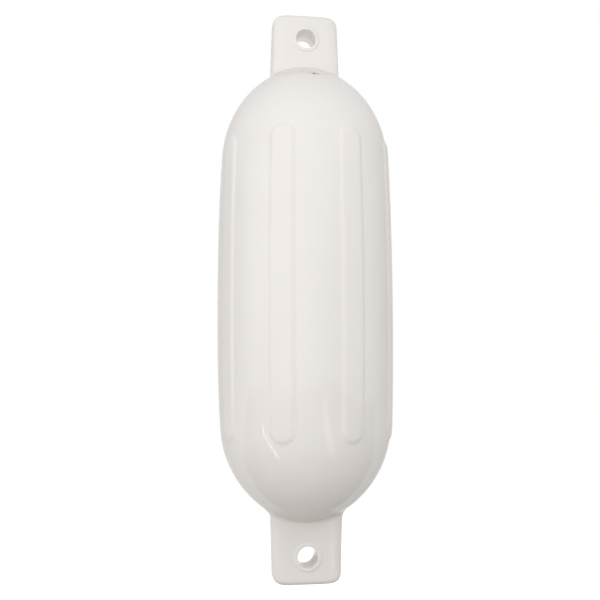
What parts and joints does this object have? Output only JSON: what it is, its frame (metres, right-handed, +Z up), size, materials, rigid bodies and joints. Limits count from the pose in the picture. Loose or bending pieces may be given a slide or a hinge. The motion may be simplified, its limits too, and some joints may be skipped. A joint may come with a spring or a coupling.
{
  "type": "boat fender",
  "caption": "Inflatable boat fender moulded in one piece: ribbed barrel with domed ends, an eye tab at each end for a line, and a rubber needle valve in the upper dome.",
  "frame": {"origin": "centre of the upper eye's bore, halfway between its two rims", "axes": "+Z up along the fender, from the lower eye to the upper one; -Y is the front, where the valve is, and the eyes' bores run along Y; +X is the width of the eye tabs"},
  "size_m": [0.211, 0.211, 0.686],
  "materials": {
    "vinyl": "glossy white moulded vinyl, slightly warm",
    "valve_rubber": "pale rubber plug with a darker needle socket"
  },
  "bodies": {
    "root": {"fender_body": "vinyl", "inflation_valve": "valve_rubber"}
  },
  "joints": []
}
